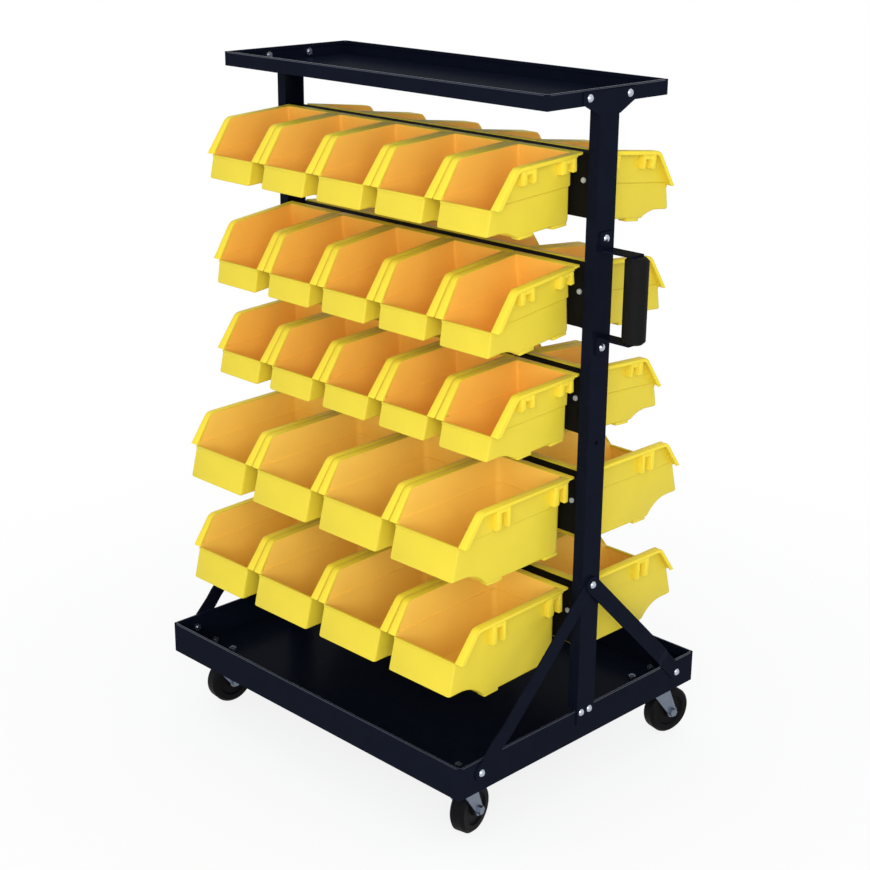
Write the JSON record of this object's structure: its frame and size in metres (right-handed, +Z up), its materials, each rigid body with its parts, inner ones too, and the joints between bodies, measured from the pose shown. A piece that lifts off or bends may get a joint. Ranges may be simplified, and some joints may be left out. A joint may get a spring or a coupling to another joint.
{
  "type": "storage bin trolley",
  "caption": "Double-sided wheeled rack: black steel trays and posts carry louvred rails with hooked yellow open-front bins, a side grip handle and swivel casters.",
  "frame": {"origin": "middle of the trolley's bounding box, on the floor under the wheels", "axes": "+X along the trolley towards the push handle, -Y towards the front bins, +Z up"},
  "size_m": [0.7328, 0.55, 1.046],
  "materials": {
    "black_enamel": "gloss powder coat",
    "bin_plastic": "satin moulded polypropylene",
    "zinc": "bright zinc plate",
    "wheel_rubber": "matte solid rubber",
    "grip_rubber": "matte grip"
  },
  "bodies": {
    "frame": {"base_tray": "black_enamel", "top_tray": "black_enamel", "left_post": "black_enamel", "right_post": "black_enamel", "post_plates": "black_enamel", "rail_1": "black_enamel", "rail_2": "black_enamel", "rail_3": "black_enamel", "rail_4": "black_enamel", "rail_5": "black_enamel", "rail_brackets": "black_enamel", "braces": "black_enamel", "handle_bracket": "black_enamel", "handle_grip": "grip_rubber", "caster_plates": "zinc", "frame_bolts": "zinc", "frame_nuts": "zinc", "rail_screws": "zinc", "caster_bolts": "zinc", "caster_nuts": "zinc"},
    "front_left_caster": {"front_left_fork": "zinc", "front_left_axle": "zinc"},
    "front_left_roller": {"front_left_wheel": "wheel_rubber"},
    "front_right_caster": {"front_right_fork": "zinc", "front_right_axle": "zinc"},
    "front_right_roller": {"front_right_wheel": "wheel_rubber"},
    "rear_left_caster": {"rear_left_fork": "zinc", "rear_left_axle": "zinc"},
    "rear_left_roller": {"rear_left_wheel": "wheel_rubber"},
    "rear_right_caster": {"rear_right_fork": "zinc", "rear_right_axle": "zinc"},
    "rear_right_roller": {"rear_right_wheel": "wheel_rubber"},
    "front_bin_1_1": {"front_bin_1_1": "bin_plastic"},
    "front_bin_1_2": {"front_bin_1_2": "bin_plastic"},
    "front_bin_1_3": {"front_bin_1_3": "bin_plastic"},
    "front_bin_1_4": {"front_bin_1_4": "bin_plastic"},
    "front_bin_1_5": {"front_bin_1_5": "bin_plastic"},
    "front_bin_2_1": {"front_bin_2_1": "bin_plastic"},
    "front_bin_2_2": {"front_bin_2_2": "bin_plastic"},
    "front_bin_2_3": {"front_bin_2_3": "bin_plastic"},
    "front_bin_2_4": {"front_bin_2_4": "bin_plastic"},
    "front_bin_2_5": {"front_bin_2_5": "bin_plastic"},
    "front_bin_3_1": {"front_bin_3_1": "bin_plastic"},
    "front_bin_3_2": {"front_bin_3_2": "bin_plastic"},
    "front_bin_3_3": {"front_bin_3_3": "bin_plastic"},
    "front_bin_3_4": {"front_bin_3_4": "bin_plastic"},
    "front_bin_3_5": {"front_bin_3_5": "bin_plastic"},
    "front_bin_4_1": {"front_bin_4_1": "bin_plastic"},
    "front_bin_4_2": {"front_bin_4_2": "bin_plastic"},
    "front_bin_4_3": {"front_bin_4_3": "bin_plastic"},
    "front_bin_4_4": {"front_bin_4_4": "bin_plastic"},
    "front_bin_5_1": {"front_bin_5_1": "bin_plastic"},
    "front_bin_5_2": {"front_bin_5_2": "bin_plastic"},
    "front_bin_5_3": {"front_bin_5_3": "bin_plastic"},
    "front_bin_5_4": {"front_bin_5_4": "bin_plastic"},
    "rear_bins_row_1": {"rear_bins_row_1": "bin_plastic"},
    "rear_bins_row_2": {"rear_bins_row_2": "bin_plastic"},
    "rear_bins_row_3": {"rear_bins_row_3": "bin_plastic"},
    "rear_bins_row_4": {"rear_bins_row_4": "bin_plastic"},
    "rear_bins_row_5": {"rear_bins_row_5": "bin_plastic"}
  },
  "joints": [
    {"name": "front_left_swivel", "type": "hinge", "parent": "frame", "child": "front_left_caster", "pos_m": [-0.3131, -0.23195, 0.087], "axis": [0, 0, 1], "continuous": true},
    {"name": "front_left_roll", "type": "hinge", "parent": "front_left_caster", "child": "front_left_roller", "pos_m": [-0.30944, -0.20218, 0.0375], "axis": [-0.9925, 0.1219, 0], "continuous": true},
    {"name": "front_right_swivel", "type": "hinge", "parent": "frame", "child": "front_right_caster", "pos_m": [0.2489, -0.23195, 0.087], "axis": [0, 0, 1], "continuous": true},
    {"name": "front_right_roll", "type": "hinge", "parent": "front_right_caster", "child": "front_right_roller", "pos_m": [0.24266, -0.20261, 0.0375], "axis": [-0.9781, -0.2079, 0], "continuous": true},
    {"name": "rear_left_swivel", "type": "hinge", "parent": "frame", "child": "rear_left_caster", "pos_m": [-0.3131, 0.20705, 0.087], "axis": [0, 0, 1], "continuous": true},
    {"name": "rear_left_roll", "type": "hinge", "parent": "rear_left_caster", "child": "rear_left_roller", "pos_m": [-0.31101, 0.23697, 0.0375], "axis": [-0.9976, 0.0698, 0], "continuous": true},
    {"name": "rear_right_swivel", "type": "hinge", "parent": "frame", "child": "rear_right_caster", "pos_m": [0.2489, 0.20705, 0.087], "axis": [0, 0, 1], "continuous": true},
    {"name": "rear_right_roll", "type": "hinge", "parent": "rear_right_caster", "child": "rear_right_roller", "pos_m": [0.25565, 0.23628, 0.0375], "axis": [-0.9744, 0.225, 0], "continuous": true},
    {"name": "lift_front_1_1", "type": "slide", "parent": "frame", "child": "front_bin_1_1", "axis": [0, 0, 1], "range_m": [0, 0.025]},
    {"name": "lift_front_1_2", "type": "slide", "parent": "frame", "child": "front_bin_1_2", "axis": [0, 0, 1], "range_m": [0, 0.025]},
    {"name": "lift_front_1_3", "type": "slide", "parent": "frame", "child": "front_bin_1_3", "axis": [0, 0, 1], "range_m": [0, 0.025]},
    {"name": "lift_front_1_4", "type": "slide", "parent": "frame", "child": "front_bin_1_4", "axis": [0, 0, 1], "range_m": [0, 0.025]},
    {"name": "lift_front_1_5", "type": "slide", "parent": "frame", "child": "front_bin_1_5", "axis": [0, 0, 1], "range_m": [0, 0.025]},
    {"name": "lift_front_2_1", "type": "slide", "parent": "frame", "child": "front_bin_2_1", "axis": [0, 0, 1], "range_m": [0, 0.025]},
    {"name": "lift_front_2_2", "type": "slide", "parent": "frame", "child": "front_bin_2_2", "axis": [0, 0, 1], "range_m": [0, 0.025]},
    {"name": "lift_front_2_3", "type": "slide", "parent": "frame", "child": "front_bin_2_3", "axis": [0, 0, 1], "range_m": [0, 0.025]},
    {"name": "lift_front_2_4", "type": "slide", "parent": "frame", "child": "front_bin_2_4", "axis": [0, 0, 1], "range_m": [0, 0.025]},
    {"name": "lift_front_2_5", "type": "slide", "parent": "frame", "child": "front_bin_2_5", "axis": [0, 0, 1], "range_m": [0, 0.025]},
    {"name": "lift_front_3_1", "type": "slide", "parent": "frame", "child": "front_bin_3_1", "axis": [0, 0, 1], "range_m": [0, 0.025]},
    {"name": "lift_front_3_2", "type": "slide", "parent": "frame", "child": "front_bin_3_2", "axis": [0, 0, 1], "range_m": [0, 0.025]},
    {"name": "lift_front_3_3", "type": "slide", "parent": "frame", "child": "front_bin_3_3", "axis": [0, 0, 1], "range_m": [0, 0.025]},
    {"name": "lift_front_3_4", "type": "slide", "parent": "frame", "child": "front_bin_3_4", "axis": [0, 0, 1], "range_m": [0, 0.025]},
    {"name": "lift_front_3_5", "type": "slide", "parent": "frame", "child": "front_bin_3_5", "axis": [0, 0, 1], "range_m": [0, 0.025]},
    {"name": "lift_front_4_1", "type": "slide", "parent": "frame", "child": "front_bin_4_1", "axis": [0, 0, 1], "range_m": [0, 0.025]},
    {"name": "lift_front_4_2", "type": "slide", "parent": "frame", "child": "front_bin_4_2", "axis": [0, 0, 1], "range_m": [0, 0.025]},
    {"name": "lift_front_4_3", "type": "slide", "parent": "frame", "child": "front_bin_4_3", "axis": [0, 0, 1], "range_m": [0, 0.025]},
    {"name": "lift_front_4_4", "type": "slide", "parent": "frame", "child": "front_bin_4_4", "axis": [0, 0, 1], "range_m": [0, 0.025]},
    {"name": "lift_front_5_1", "type": "slide", "parent": "frame", "child": "front_bin_5_1", "axis": [0, 0, 1], "range_m": [0, 0.025]},
    {"name": "lift_front_5_2", "type": "slide", "parent": "frame", "child": "front_bin_5_2", "axis": [0, 0, 1], "range_m": [0, 0.025]},
    {"name": "lift_front_5_3", "type": "slide", "parent": "frame", "child": "front_bin_5_3", "axis": [0, 0, 1], "range_m": [0, 0.025]},
    {"name": "lift_front_5_4", "type": "slide", "parent": "frame", "child": "front_bin_5_4", "axis": [0, 0, 1], "range_m": [0, 0.025]},
    {"name": "lift_rear_row_1", "type": "slide", "parent": "frame", "child": "rear_bins_row_1", "axis": [0, 0, 1], "range_m": [0, 0.025]},
    {"name": "lift_rear_row_2", "type": "slide", "parent": "frame", "child": "rear_bins_row_2", "axis": [0, 0, 1], "range_m": [0, 0.025]},
    {"name": "lift_rear_row_3", "type": "slide", "parent": "frame", "child": "rear_bins_row_3", "axis": [0, 0, 1], "range_m": [0, 0.025]},
    {"name": "lift_rear_row_4", "type": "slide", "parent": "frame", "child": "rear_bins_row_4", "axis": [0, 0, 1], "range_m": [0, 0.025]},
    {"name": "lift_rear_row_5", "type": "slide", "parent": "frame", "child": "rear_bins_row_5", "axis": [0, 0, 1], "range_m": [0, 0.025]}
  ]
}
